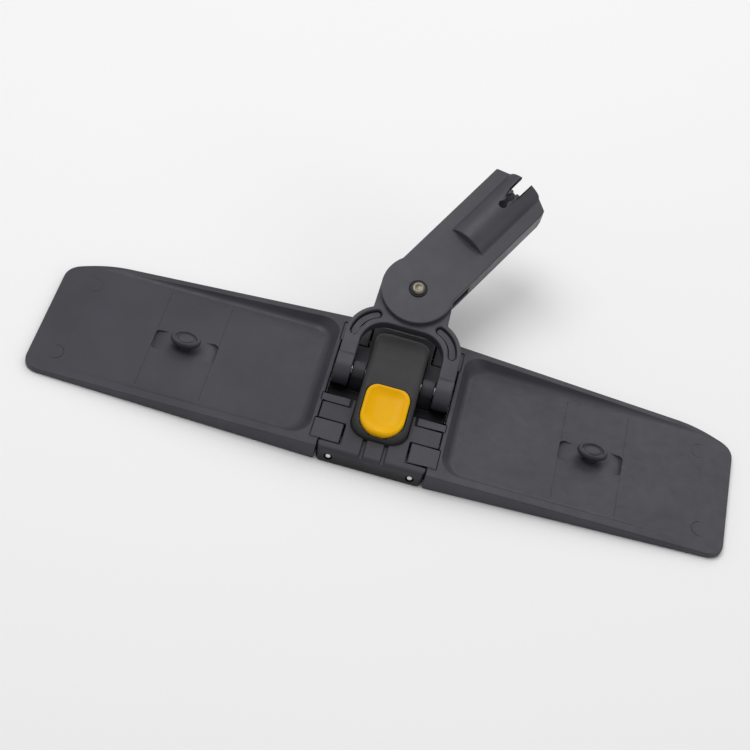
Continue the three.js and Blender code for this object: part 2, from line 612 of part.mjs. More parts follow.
function handleSocket() {
  const clear = yokeHalfThickness + gap;
  const slotEnd = tongueRadius + 1.5;
  const wide = socketDiscRadius + 5;
  let socket = slab(socketOutline(), -socketHalfThickness, socketHalfThickness, 16);
  socket = join(socket, rod(tubeRadius, "y", tubeStart, socketLength, [0, 0], 48));
  for (const side of [-1, 1]) {
    const fall = side < 0 ? mouthFalls.left : mouthFalls.right;
    const falls = new THREE.Shape([[mouthFlat, 0], [wide, (mouthFlat - wide) * fall], [wide, 1],
      [mouthFlat, 1]].map(([x, y]) => new THREE.Vector2(side * x, socketLength + y)));
    socket = cut(socket, slab(falls, -wide, wide));
  }
  socket = cut(socket, block(-wide, wide, -wide, slotEnd, -clear, clear));
  socket = cut(socket, rod(handleRadius, "y", boreStart, socketLength + 1, [0, 0], 40));
  socket = cut(socket, block(-slotHalfWidth, slotHalfWidth, socketLength - slotDepth,
    socketLength + 1, 0, tubeRadius + 1));
  const slotFloor = socketLength - slotDepth;
  const holes = keyholeOffsets.map((offset) => slotFloor - offset);
  socket = cut(socket, block(-keyholeSlitHalf, keyholeSlitHalf, Math.min(...holes), slotFloor + 1,
    0, tubeRadius + 1));
  for (const y of holes) {
    socket = cut(socket, rod(keyholeRadius, "z", 0, tubeRadius + 1, [0, y], 20));
  }
  const seat = socketHalfThickness - washerRecess;
  socket = cut(socket, rod(washerRadius + gap, "z", seat, tubeRadius, [0, 0]));
  socket = cut(socket, rod(washerRadius + gap, "z", -tubeRadius, -seat, [0, 0]));
  return cut(socket, rod(rivetRadius + runningGap, "z", -tubeRadius, tubeRadius, [0, 0]));
}

function ring(outer, inner, low, high) {
  return cut(rod(outer, "z", low, high, [0, 0]), rod(inner, "z", low - 1, high + 1, [0, 0]));
}

const washerLow = socketHalfThickness - washerRecess + gap;
const washerTop = washerLow + washerThickness;
function swivelRivet() {
  const dome = [[0, 1.5], [0.45, 1.4], [0.8, 1], [1, 0.4], [1, 0], [0, 0]];
  const points = dome.reverse().map(([r, z]) => new THREE.Vector2(r * rivetHeadRadius, z));
  const head = new THREE.LatheGeometry(points, 20).rotateX(Math.PI / 2);
  const front = solid(head).translate([0, 0, washerTop + gap]);
  const shank = rod(rivetRadius, "z", -washerTop - gap - 0.2, washerTop + gap + 0.3, [0, 0]);
  const rear = rod(rivetHeadRadius - 0.9, "z", -washerTop - gap - 1.1, -washerTop - gap,
    [0, 0], 32, rivetHeadRadius);
  return join(shank, front, rear);
}

// ---------- assembly ----------
function buildHinges() {
  for (const side of [-1, 1]) {
    const name = side < 0 ? "left" : "right";
    const inset = 0.4;
    const place = [side * pinX, pinZ];
    add(`${name}_front_hinge_pin`, rod(pinRadius, "y", -halfDepth + inset, -wellFront - gap, place, 16),
      finish(steel, 0.3, 1));
    add(`${name}_rear_hinge_pin`, rod(pinRadius, "y", wellRear + 2 * gap, halfDepth - inset, place, 16),
      finish(steel, 0.3, 1));
  }
}

function buildWings() {
  const right = rightWing();
  add("right_wing", right, finish(charcoal, 0.55, 0));
  add("left_wing", right.mirror([1, 0, 0]), finish(charcoal, 0.55, 0));
  for (const side of [-1, 1]) {
    const name = side < 0 ? "left" : "right";
    add(`${name}_knob`, knob().translate([side * knobX, 0, 0]), finish(black, 0.5, 0));
    const fastener = screw(knobScrewHead, 1.3, knobScrewShank, knobBoreTop - 2 * gap);
    add(`${name}_knob_screw`, fastener.translate([side * knobX, 0, gap]), finish(steel, 0.35, 1));
  }
}

function buildRelease() {
  add("centre_plate", centrePlate(), finish(charcoal, 0.55, 0));
  add("release_cover", coverShell(), finish(black, 0.45, 0));
  add("foot_button", footButton(), finish(yellow, 0.35, 0));
  add("button_spring", buttonSpring(), finish(steel, 0.35, 1));
  add("left_latch_bolt", latchBolt(-1), finish(steel, 0.4, 1));
  add("right_latch_bolt", latchBolt(1), finish(steel, 0.4, 1));
  coverScrews.forEach(([x, y], i) => {
    const fastener = screw(screwHeadRadius, screwHeadHeight, screwShankRadius, 12);
    add(`cover_screw_${i + 1}`, fastener.translate([x, y, gap]), finish(steel, 0.35, 1));
  });
}

function buildJoint() {
  const axleEnd = yokeOuterX - capThickness - 2 * gap;
  add("yoke_axle", rod(axleRadius, "x", -axleEnd, axleEnd, [axleY, axleZ]), finish(steel, 0.3, 1));
  const frame = new THREE.Group();
  frame.position.set(0, axleY, axleZ);
  frame.rotation.x = THREE.MathUtils.degToRad(yokeLean);
  part.add(frame);
  add("yoke", yoke(), finish(charcoal, 0.5, 0), frame);
  for (const side of [-1, 1]) {
    const name = side < 0 ? "left" : "right";
    const [x0, x1] = side < 0 ? [-axleEnd, -yokeInnerX] : [yokeInnerX, axleEnd];
    const bush = cut(rod(bushRadius, "x", x0, x1, [0, 0]),
      rod(axleRadius + runningGap, "x", x0 - 1, x1 + 1, [0, 0]));
    add(`${name}_axle_bush`, bush, finish(0xd8d4c8, 0.6, 0), frame);
    const [c0, c1] = side < 0 ? [-yokeOuterX, -yokeOuterX + capThickness]
      : [yokeOuterX - capThickness, yokeOuterX];
    add(`${name}_axle_cap`, rod(bushRadius, "x", c0, c1, [axleY, axleZ]), finish(steel, 0.35, 1));
  }
  const bush = ring(rivetBushRadius, rivetRadius + runningGap, -yokeHalfThickness, yokeHalfThickness);
  add("swivel_bush", bush.translate([0, rivetReach, 0]), finish(0xd8d4c8, 0.6, 0), frame);

  const arm = new THREE.Group();
  arm.position.set(0, rivetReach, 0);
  arm.rotation.z = -THREE.MathUtils.degToRad(socketSwing);
  frame.add(arm);
  add("handle_socket", handleSocket(), finish(charcoal, 0.5, 0), arm);
  add("swivel_rivet", swivelRivet(), finish(steel, 0.3, 1), arm);
  const inner = rivetRadius + gap;
  const dark = finish(black, 0.5, 0);
  add("rivet_front_washer", ring(washerRadius, inner, washerLow, washerTop), dark, arm);
  add("rivet_rear_washer", ring(washerRadius, inner, -washerTop, -washerLow), dark, arm);
}

buildHinges();
buildWings();
buildRelease();
buildJoint();

export default part;
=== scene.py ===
import json
import math

import bmesh
import bpy
from mathutils import Matrix, Vector

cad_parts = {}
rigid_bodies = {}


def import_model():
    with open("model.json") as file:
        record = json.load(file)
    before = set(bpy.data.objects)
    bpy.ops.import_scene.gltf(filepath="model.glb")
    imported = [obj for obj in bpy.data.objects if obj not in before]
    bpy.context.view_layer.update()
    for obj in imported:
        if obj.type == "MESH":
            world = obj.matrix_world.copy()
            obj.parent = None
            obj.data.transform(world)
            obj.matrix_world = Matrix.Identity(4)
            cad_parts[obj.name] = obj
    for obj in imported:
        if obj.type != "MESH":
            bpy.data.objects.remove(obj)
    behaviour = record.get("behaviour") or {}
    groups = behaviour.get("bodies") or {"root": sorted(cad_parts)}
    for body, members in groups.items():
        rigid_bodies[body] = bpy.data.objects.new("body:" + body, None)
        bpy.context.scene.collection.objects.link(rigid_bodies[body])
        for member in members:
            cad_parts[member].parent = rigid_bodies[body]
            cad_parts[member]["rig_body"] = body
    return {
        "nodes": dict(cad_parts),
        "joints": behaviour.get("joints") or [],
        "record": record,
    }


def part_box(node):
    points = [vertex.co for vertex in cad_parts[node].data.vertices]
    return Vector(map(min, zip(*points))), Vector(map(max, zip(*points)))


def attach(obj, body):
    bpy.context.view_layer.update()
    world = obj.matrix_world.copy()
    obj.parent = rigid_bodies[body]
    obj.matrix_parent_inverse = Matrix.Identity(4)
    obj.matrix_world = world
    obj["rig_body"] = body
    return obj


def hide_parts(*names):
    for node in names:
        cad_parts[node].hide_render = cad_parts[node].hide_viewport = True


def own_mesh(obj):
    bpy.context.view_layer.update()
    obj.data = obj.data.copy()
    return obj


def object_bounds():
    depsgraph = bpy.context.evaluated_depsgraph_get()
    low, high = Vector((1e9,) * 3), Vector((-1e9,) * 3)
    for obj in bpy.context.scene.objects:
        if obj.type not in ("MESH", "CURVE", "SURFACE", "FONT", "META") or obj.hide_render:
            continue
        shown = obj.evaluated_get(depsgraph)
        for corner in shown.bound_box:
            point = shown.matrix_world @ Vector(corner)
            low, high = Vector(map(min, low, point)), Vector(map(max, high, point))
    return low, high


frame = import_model()
cadLow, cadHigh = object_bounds()
mm = 0.001  # every size below is in millimetres, unless its note says metres
yokeLean = 22  # degrees that the yoke leans back at rest


# Camera: where it stands, and which ways are right and up for it
cameraSetup = {
    "place": (7.038, -740.983, 784.312),
    "right": (0.96396, 0.20142, 0.17379),
    "up": (-0.26552, 0.68809, 0.67529),
    "lens": 91.2,
}

# Floor, sky and lamps, in metres
studio = {
    "floorColor": (0.98, 0.98, 0.98, 1),
    "floorSize": 6.0,
    "skyColor": (1.0, 1.0, 1.0, 1),
    "skyStrength": 0.42,
    "floorGap": 0.0003,
    # name, place, aim, size, power
    "lamps": [
        ("keyLamp", (-0.45, 0.15, 1.35), (0, 0.02, 0), 0.9, 8.0),
        ("backLamp", (0.35, 1.15, 0.95), (0, 0.05, 0), 1.2, 5.5),
        ("sideLamp", (1.15, -0.45, 0.65), (0, 0, 0), 0.6, 1.4),
    ],
}


def makeCamera():
    right = Vector(cameraSetup["right"]).normalized()
    up = Vector(cameraSetup["up"]).normalized()
    back = right.cross(up).normalized()
    data = bpy.data.cameras.new("camera")
    data.sensor_width = 36
    data.lens = cameraSetup["lens"]
    data.clip_start = 0.01
    data.clip_end = 20
    camera = bpy.data.objects.new("camera", data)
    turn = Matrix((right, up, back)).transposed().to_4x4()
    camera.matrix_world = Matrix.Translation(Vector(cameraSetup["place"]) * mm) @ turn
    bpy.context.scene.collection.objects.link(camera)
    bpy.context.scene.camera = camera


def makeFloor():
    bm = bmesh.new()
    bmesh.ops.create_grid(bm, x_segments=1, y_segments=1, size=studio["floorSize"] / 2)
    bmesh.ops.translate(bm, verts=bm.verts, vec=(0, 0, cadLow.z - studio["floorGap"]))
    floor = newPiece("studioFloor", bm)
    floor.data.materials.append(floorPaint())


def makeLamps():
    for name, place, aim, size, power in studio["lamps"]:
        data = bpy.data.lights.new(name, "AREA")
        data.size = size
        data.energy = power
        lamp = bpy.data.objects.new(name, data)
        lamp.location = place
        lamp.rotation_euler = (Vector(aim) - Vector(place)).to_track_quat("-Z", "Y").to_euler()
        bpy.context.scene.collection.objects.link(lamp)
    world = bpy.data.worlds.new("studioSky")
    world.use_nodes = True
    sky = world.node_tree.nodes["Background"]
    sky.inputs["Color"].default_value = studio["skyColor"]
    sky.inputs["Strength"].default_value = studio["skyStrength"]
    bpy.context.scene.world = world
    bpy.context.scene.view_settings.view_transform = "Standard"


# A new finish, its shader, and the object's own coordinates for its patterns
def blankMaterial(name):
    material = bpy.data.materials.new(name)
    material.use_nodes = True
    tree = material.node_tree
    shader = tree.nodes["Principled BSDF"]
    coords = tree.nodes.new("ShaderNodeTexCoord")
    return material, tree, shader, coords.outputs["Object"]


def noise(tree, coords, scale, detail=4.0, rough=0.55):
    node = tree.nodes.new("ShaderNodeTexNoise")
    node.inputs["Scale"].default_value = scale
    node.inputs["Detail"].default_value = detail
    node.inputs["Roughness"].default_value = rough
    tree.links.new(coords, node.inputs["Vector"])
    return node.outputs["Fac"]


def spread(tree, value, low, high, fromLow=0.3, fromHigh=0.7):
    node = tree.nodes.new("ShaderNodeMapRange")
    node.inputs["From Min"].default_value = fromLow
    node.inputs["From Max"].default_value = fromHigh
    node.inputs["To Min"].default_value = low
    node.inputs["To Max"].default_value = high
    tree.links.new(value, node.inputs["Value"])
    return node.outputs["Result"]


def mixColors(tree, factor, first, second):
    node = tree.nodes.new("ShaderNodeMix")
    node.data_type = "RGBA"
    tree.links.new(factor, node.inputs["Factor"])
    for socket, value in (("A", first), ("B", second)):
        target = [s for s in node.inputs if s.name == socket and s.type == "RGBA"][0]
        if isinstance(value, tuple):
            target.default_value = value
        else:
            tree.links.new(value, target)
    return [s for s in node.outputs if s.type == "RGBA"][0]


def addBump(tree, shader, height, strength, distance, under=None):
    node = tree.nodes.new("ShaderNodeBump")
    node.inputs["Strength"].default_value = strength
    node.inputs["Distance"].default_value = distance
    tree.links.new(height, node.inputs["Height"])
    if under is not None:
        tree.links.new(under, node.inputs["Normal"])
    tree.links.new(node.outputs["Normal"], shader.inputs["Normal"])
    return node.outputs["Normal"]


# Rises from 0 to 1 between two heights, in metres
def heightFade(tree, coords, low, high):
    node = tree.nodes.new("ShaderNodeSeparateXYZ")
    tree.links.new(coords, node.inputs["Vector"])
    return spread(tree, node.outputs["Z"], 0, 1, low, high)


# A moulded plastic: cloudy colour, fine spark-eroded grain, faint scuffs that change its gloss
def mouldedPlastic(name, look):
    material, tree, shader, coords = blankMaterial(name)
    cloud = noise(tree, coords, 22, 3)
    grain = noise(tree, coords, look["grainScale"], 2, 0.6)
    scuff = noise(tree, coords, 160, 6, 0.7)
    tone = mixColors(tree, spread(tree, cloud, 0, 1, 0.35, 0.65), look["dark"], look["light"])
    speck = spread(tree, grain, 0, look["speck"], 0.35, 0.75)
    tone = mixColors(tree, speck, tone, look["light"])
    # Painted shade: a darker colour low down, fading out between the given heights
    if "grimeHeights" in look:
        tone = mixColors(tree, heightFade(tree, coords, *look["grimeHeights"]), look["grime"], tone)
    tree.links.new(tone, shader.inputs["Base Color"])
    tree.links.new(spread(tree, scuff, look["gloss"], look["matt"], 0.35, 0.7), shader.inputs["Roughness"])
    wave = addBump(tree, shader, cloud, 0.25, 0.0004)
    addBump(tree, shader, grain, look["grainDepth"], 0.00012, wave)
    shader.inputs["Specular IOR Level"].default_value = look["specular"]
    return material


# The yoke and socket get a lighter copy of the charcoal plastic, painted light for how they catch the lamps
def jointPlastic():
    return mouldedPlastic("jointPlastic", {
        "dark": (0.053, 0.050, 0.062, 1), "light": (0.068, 0.065, 0.079, 1),
        "grainScale": 2600, "grainDepth": 0.35, "speck": 0.5, "gloss": 0.36, "matt": 0.52,
        "specular": 0.35})


# The plate's hollows are darkened with painted shade, fading out between the given heights in metres
def platePlastic():
    return mouldedPlastic("platePlastic", {
        "dark": (0.038, 0.036, 0.044, 1), "light": (0.049, 0.047, 0.056, 1),
        "grainScale": 2600, "grainDepth": 0.35, "speck": 0.5, "gloss": 0.4, "matt": 0.55,
        "specular": 0.3, "grimeHeights": (0.0035, 0.010), "grime": (0.016, 0.015, 0.018, 1)})


def charcoalPlastic():
    return mouldedPlastic("charcoalPlastic", {
        "dark": (0.039, 0.036, 0.047, 1), "light": (0.052, 0.049, 0.062, 1),
        "grainScale": 2600, "grainDepth": 0.35, "speck": 0.5, "gloss": 0.38, "matt": 0.55,
        "specular": 0.35})


def darkPlastic():
    return mouldedPlastic("darkPlastic", {
        "dark": (0.032, 0.032, 0.034, 1), "light": (0.041, 0.041, 0.043, 1),
        "grainScale": 3200, "grainDepth": 0.25, "speck": 0.3, "gloss": 0.5, "matt": 0.65,
        "specular": 0.25})


def yellowPlastic():
    return mouldedPlastic("yellowPlastic", {
        "dark": (0.86, 0.43, 0.0, 1), "light": (0.93, 0.49, 0.0, 1),
        "grainScale": 1800, "grainDepth": 0.08, "speck": 0.3, "gloss": 0.22, "matt": 0.34,
        "specular": 0.12})


def bushPlastic():
    return mouldedPlastic("bushPlastic", {
        "dark": (0.62, 0.59, 0.52, 1), "light": (0.70, 0.67, 0.60, 1),
        "grainScale": 2600, "grainDepth": 0.2, "speck": 0.3, "gloss": 0.4, "matt": 0.55,
        "specular": 0.4})


# Turned or drawn steel: stretched streaks in colour, gloss and bump
def steelFinish(name, look):
    material, tree, shader, coords = blankMaterial(name)
    mapping = tree.nodes.new("ShaderNodeMapping")
    mapping.inputs["Scale"].default_value = look["streak"]
    tree.links.new(coords, mapping.inputs["Vector"])
    streaks = noise(tree, mapping.outputs["Vector"], 900, 3, 0.6)
    stain = noise(tree, coords, 300, 4, 0.6)
    tone = mixColors(tree, spread(tree, stain, 0, 1), look["dark"], look["light"])
    tree.links.new(tone, shader.inputs["Base Color"])
    tree.links.new(spread(tree, streaks, look["gloss"], look["matt"]), shader.inputs["Roughness"])
    addBump(tree, shader, streaks, 0.12, 0.00005)
    shader.inputs["Metallic"].default_value = 1.0
    return material


def turnedSteel():
    return steelFinish("turnedSteel", {
        "dark": (0.72, 0.71, 0.69, 1), "light": (0.86, 0.85, 0.83, 1),
        "streak": (1, 1, 6), "gloss": 0.2, "matt": 0.34})


def plainSteel():
    return steelFinish("plainSteel", {
        "dark": (0.42, 0.42, 0.42, 1), "light": (0.56, 0.56, 0.56, 1),
        "streak": (6, 1, 1), "gloss": 0.3, "matt": 0.45})


def rivetSteel():
    return steelFinish("rivetSteel", {
        "dark": (0.18, 0.16, 0.125, 1), "light": (0.28, 0.25, 0.205, 1),
        "streak": (1, 1, 1), "gloss": 0.34, "matt": 0.5})


def floorPaint():
    material, tree, shader, coords = blankMaterial("floorPaint")
    cloud = noise(tree, coords, 3, 2)
    low = tuple(0.985 * c for c in studio["floorColor"][:3]) + (1,)
    tone = mixColors(tree, cloud, low, studio["floorColor"])
    tree.links.new(tone, shader.inputs["Base Color"])
    shader.inputs["Roughness"].default_value = 0.9
    return material


def newPiece(name, bm):
    mesh = bpy.data.meshes.new(name)
    bm.to_mesh(mesh)
    bm.free()
    piece = bpy.data.objects.new(name, mesh)
    bpy.context.scene.collection.objects.link(piece)
    return piece


# Rolls every edge sharper than the limit, at once, so that finer cuts can follow
def roundOff(piece, width, segments=3, limit=34):
    bevel = piece.modifiers.new("edges", "BEVEL")
    bevel.width = width * mm
    bevel.segments = segments
    bevel.limit_method = "ANGLE"
    bevel.angle_limit = math.radians(limit)
    bevel.harden_normals = False
    bevel.use_clamp_overlap = False
    bakeModifiers(piece)


# Smooth shading that stops at edges sharper than the limit
def shade(piece, limit=40):
    bm = bmesh.new()
    bm.from_mesh(piece.data)
    for face in bm.faces:
        face.smooth = True
    for edge in bm.edges:
        edge.smooth = edge.calc_face_angle(0) < math.radians(limit)
    bm.to_mesh(piece.data)
    bm.free()
    weights = piece.modifiers.new("weights", "WEIGHTED_NORMAL")
    weights.keep_sharp = True


def softenEdges(piece, width, segments=3, limit=34):
    roundOff(piece, width, segments, limit)
    shade(piece)


# A merged copy of a CAD node, its flat faces made whole again
def mergedCopy(node, name):
    bm = bmesh.new()
    bm.from_mesh(frame["nodes"][node].data)
    bmesh.ops.remove_doubles(bm, verts=bm.verts, dist=1e-6)
    bmesh.ops.dissolve_limit(bm, angle_limit=math.radians(0.3), verts=bm.verts, edges=bm.edges,
                             delimit={"NORMAL"})
    return newPiece(name, bm)


# The same, its triangles left as they are for cutting
def rawCopy(node, name):
    bm = bmesh.new()
    bm.from_mesh(frame["nodes"][node].data)
    bmesh.ops.remove_doubles(bm, verts=bm.verts, dist=1e-6)
    return newPiece(name, bm)


def takenMesh(piece):
    bm = bmesh.new()
    bm.from_mesh(piece.data)
    mesh = piece.data
    bpy.data.objects.remove(piece)
    bpy.data.meshes.remove(mesh)
    return bm


# The piece stands for its CAD node, in that node's slot and on that node's body
def settle(piece, node, material):
    piece.data.materials.clear()
    piece.data.materials.append(material)
    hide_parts(node)
    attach(piece, frame["nodes"][node]["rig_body"])
    settled.add(node)


def camelName(node):
    words = node.split("_")
    return words[0] + "".join(w.capitalize() for w in words[1:])


def cadBox(node):
    low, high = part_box(node)
    return low / mm, high / mm


def jointEntry(name):
    return [joint for joint in frame["joints"] if joint["name"] == name][0]


def pivot(name):
    return tuple(c / mm for c in jointEntry(name)["pos_m"])


# A quadratic curve from start to end, drawn towards pull
def bend(start, pull, end, steps=16):
    points = []
    for i in range(steps + 1):
        t = i / steps
        points.append(tuple(a * (1 - t) ** 2 + 2 * b * t * (1 - t) + c * t * t
                            for a, b, c in zip(start, pull, end)))
    return points


# Points on a circle at the given shares of the way from one angle to the other
def arc(centre, radius, start, end, shares):
    return [(centre[0] + radius * math.cos(start + (end - start) * t),
             centre[1] + radius * math.sin(start + (end - start) * t)) for t in shares]


# A rectangle's outline, its front and rear corners rounded
def roundedPlan(x0, x1, y0, y1, frontRadius, rearRadius, steps=12):
    shares = [i / steps for i in range(steps + 1)]
    points = []
    for x, y, r, start in ((x1, y0, frontRadius, -90), (x1, y1, rearRadius, 0),
                           (x0, y1, rearRadius, 90), (x0, y0, frontRadius, 180)):
        centre = (x - math.copysign(r, x), y + (r if y == y0 else -r))
        points += arc(centre, r, math.radians(start), math.radians(start + 90), shares)
    return points


# The convex solid round two lists of corners
def wedgeBlock(low, high):
    bm = bmesh.new()
    for x, y, z in low + high:
        bm.verts.new((x * mm, y * mm, z * mm))
    bmesh.ops.convex_hull(bm, input=bm.verts)
    bmesh.ops.dissolve_limit(bm, angle_limit=0.01, verts=bm.verts, edges=bm.edges)
    bmesh.ops.recalc_face_normals(bm, faces=bm.faces)
    return bm


def plainBlock(x0, x1, y0, y1, z0, z1):
    corners = [(x0, y0), (x1, y0), (x1, y1), (x0, y1)]
    return wedgeBlock([(x, y, z0) for x, y in corners], [(x, y, z1) for x, y in corners])


# Rounds the edges whose middle and direction pass the test
def roundEdges(bm, test, radius, segments=8):
    edges = [e for e in bm.edges if test((e.verts[0].co + e.verts[1].co) / 2 / mm,
                                         (e.verts[1].co - e.verts[0].co).normalized())]
    bmesh.ops.bevel(bm, geom=edges, offset=radius * mm, offset_type="OFFSET", segments=segments,
                    profile=0.5, affect="EDGES", material=-1, clamp_overlap=True)


def upright(direction):
    return abs(direction.z) > 0.75


# A rod along an axis, from start to end, at its place on the other two
def rodSolid(radius, axis, start, end, place, sides=64):
    bm = bmesh.new()
    bmesh.ops.create_cone(bm, cap_ends=True, cap_tris=False, segments=sides, radius1=radius * mm,
                          radius2=radius * mm, depth=(end - start) * mm)
    bmesh.ops.translate(bm, verts=bm.verts, vec=(0, 0, (start + end) / 2 * mm))
    turn = {"x": Matrix.Rotation(math.pi / 2, 3, "Y"), "y": Matrix.Rotation(-math.pi / 2, 3, "X"),
            "z": Matrix.Identity(3)}[axis]
    bmesh.ops.rotate(bm, verts=bm.verts, matrix=turn, cent=(0, 0, 0))
    offset = {"x": (0, place[0], place[1]), "y": (place[0], 0, place[1]), "z": (*place, 0)}[axis]
    bmesh.ops.translate(bm, verts=bm.verts, vec=Vector(offset) * mm)
    return bm


# A solid of revolution: its profile's (radius, height) pairs run from the axis round to the axis
def spunSolid(profile, steps=72):
    bm = bmesh.new()
    verts = [bm.verts.new((r * mm, 0, z * mm)) for r, z in profile]
    edges = [bm.edges.new(pair) for pair in zip(verts, verts[1:])]
    bmesh.ops.spin(bm, geom=verts + edges, cent=(0, 0, 0), axis=(0, 0, 1), angle=math.tau,
                   steps=steps, use_merge=True)
    bmesh.ops.remove_doubles(bm, verts=bm.verts, dist=1e-6)
    bmesh.ops.recalc_face_normals(bm, faces=bm.faces)
    return bm


def bakeModifiers(piece):
    bpy.context.view_layer.update()
    made = piece.evaluated_get(bpy.context.evaluated_depsgraph_get())
    mesh = bpy.data.meshes.new_from_object(made)
    old = piece.data
    piece.modifiers.clear()
    piece.data = mesh
    bpy.data.meshes.remove(old)


def combine(piece, bm, operation):  # the tool is used up
    tool = newPiece("tool", bm)
    step = piece.modifiers.new("step", "BOOLEAN")
    step.operation = operation
    step.solver = "MANIFOLD"
    step.object = tool
    bakeModifiers(piece)
    mesh = tool.data
    bpy.data.objects.remove(tool)
    bpy.data.meshes.remove(mesh)


def cutAway(piece, *tools):
    for bm in tools:
        combine(piece, bm, "DIFFERENCE")


def joinOn(piece, *tools):
    for bm in tools:
        combine(piece, bm, "UNION")


# Merges what lies flat, so that edges run unbroken
def wholeFaces(piece, degrees=0.2):
    bm = bmesh.new()
    bm.from_mesh(piece.data)
    bmesh.ops.remove_doubles(bm, verts=bm.verts, dist=2e-6)
    bmesh.ops.dissolve_limit(bm, angle_limit=math.radians(degrees), verts=bm.verts, edges=bm.edges)
    bm.to_mesh(piece.data)
    bm.free()


# Wings: tapered trays, their rims fading out towards the tip
wingSizes = {
    "root": 31.0, "tip": 200.0, "cheek": 30.4, "halfDepth": 52.35, "frontTaper": 0.039,
    "rearTaper": 0.035, "rimHeight": 11.0, "rimFade": 0.0465, "floor": 4.0,
    "tipFront": 10.0, "tipRear": 8.5, "shoulder": 34.0, "shoulderEnd": 22.0, "shoulderDrop": 8.2,
    "pocketRoot": 42.0, "pocketTip": 192.0, "pocketFront": 41.0, "pocketRear": 43.8,
    "growFront": 6.2, "growRear": 4.1, "growRoot": 4.9, "pocketCorner": 10.0,
    "floorFillet": 2.6, "rimRound": 1.3,
    "rimStart": 35.0, "rimEnd": 172.0, "rimSide": 1.0, "overcut": 3.0,
    "lugOuter": 31.1, "lugInner": 18.3, "lugX": 35.0, "cheekInner": 46.8, "knuckleX": 19.3,
    "knuckleRound": 0.8, "wellFront": 11.9, "gap": 0.5, "pinHole": 1.8,
    "dishStart": 10.5, "dishEnd": 18.2, "dishHalf": 7.3, "dishDepth": 2.1, "dishCorner": 2.2,
    "knobHole": 3.5, "screwHole": 4.9, "screwDepth": 2.0, "edge": 0.6,
    "lineEnd": 38.0, "lineHalf": 0.26, "lineDepth": 0.22, "lineGap": 0.5,
    "markOuter": 5.4, "markInner": 5.0, "markDepth": 0.1, "marks": [(181.0, 28.0), (186.0, -30.0)],
}
knobX = 119.0  # of both knobs and the dishes beside them


def rimAt(x):
    w = wingSizes
    return w["rimHeight"] - w["rimFade"] * (x - w["cheek"])


def frontAt(x):
    return -wingSizes["halfDepth"] + wingSizes["frontTaper"] * (x - wingSizes["cheek"])


def rearAt(x):
    return wingSizes["halfDepth"] - wingSizes["rearTaper"] * (x - wingSizes["cheek"])


# The tip's front corner is round; behind, the edge swings forward before a tighter corner
def wingTray():
    w = wingSizes
    tip, r, q = w["tip"], w["tipFront"], w["tipRear"]
    cornerY = rearAt(tip) - w["shoulderDrop"]
    swing = w["shoulderDrop"] / w["shoulderEnd"]
    straight = tip - w["shoulder"]
    pull = tip - w["shoulderEnd"]
    plan = [(w["root"], frontAt(w["root"]))]
    plan += bend((tip - r, frontAt(tip - r)), (tip, frontAt(tip)), (tip, frontAt(tip) + r))
    plan += bend((tip, cornerY - q), (tip, cornerY), (tip - q, cornerY + q * swing))
    plan += bend((tip - q, cornerY + q * swing), (pull, rearAt(pull)), (straight, rearAt(straight)))[1:]
    plan.append((w["root"], rearAt(w["root"])))
    return wedgeBlock([(x, y, 0) for x, y in plan], [(x, y, rimAt(x)) for x, y in plan])


# The pocket's walls slope outwards and meet the floor in a fillet
def wingPocketTool():
    w = wingSizes
    top = w["rimHeight"] + w["overcut"]
    rise = (top - w["floor"]) / (w["rimHeight"] - w["floor"])
    low = [(w["pocketRoot"], -w["pocketFront"]), (w["pocketTip"], -w["pocketFront"]),
           (w["pocketTip"], w["pocketRear"]), (w["pocketRoot"], w["pocketRear"])]
    grow = [(-w["growRoot"], -w["growFront"]), (6, -w["growFront"]), (6, w["growRear"]),
            (-w["growRoot"], w["growRear"])]
    high = [(x + dx * rise, y + dy * rise) for (x, y), (dx, dy) in zip(low, grow)]
    bm = wedgeBlock([(x, y, w["floor"]) for x, y in low], [(x, y, top) for x, y in high])
    roundEdges(bm, lambda c, d: abs(d.z) > 0.5, w["pocketCorner"], 14)
    roundEdges(bm, lambda c, d: abs(c.z - w["floor"]) < 0.01, w["floorFillet"], 6)
    return bm


# A finger dish beside the knob, its floor falling away from it
def dishTool(direction):
    w = wingSizes
    xs = [knobX + direction * w["dishStart"], knobX + direction * w["dishEnd"]]
    depths = [w["floor"] + 0.1, w["floor"] - w["dishDepth"]]
    low = [(x, y, z) for x, z in zip(xs, depths) for y in (-w["dishHalf"], w["dishHalf"])]
    high = [(x, y, w["floor"] + 2) for x in xs for y in (-w["dishHalf"], w["dishHalf"])]
    bm = wedgeBlock(low, high)
    roundEdges(bm, lambda c, d: upright(d) and abs(c.x - xs[1]) < 0.1, w["dishCorner"], 6)
    return bm


# A hinge knuckle, round under its pin
def knuckleBlock(y0, y1):
    w = wingSizes
    pinX = pivot("right_wing_fold")[0]
    bm = plainBlock(w["knuckleX"], w["lugX"] + 1, y0, y1, 0, w["rimHeight"])
    roundEdges(bm, lambda c, d: abs(d.y) > 0.9 and c.x < w["knuckleX"] + 0.1 and c.z < 0.1,
               pinX - w["knuckleX"] - 0.1, 10)
    roundEdges(bm, lambda c, d: abs(d.y) > 0.9 and c.x < w["knuckleX"] + 0.1 and c.z > 10,
               w["knuckleRound"], 4)
    return bm


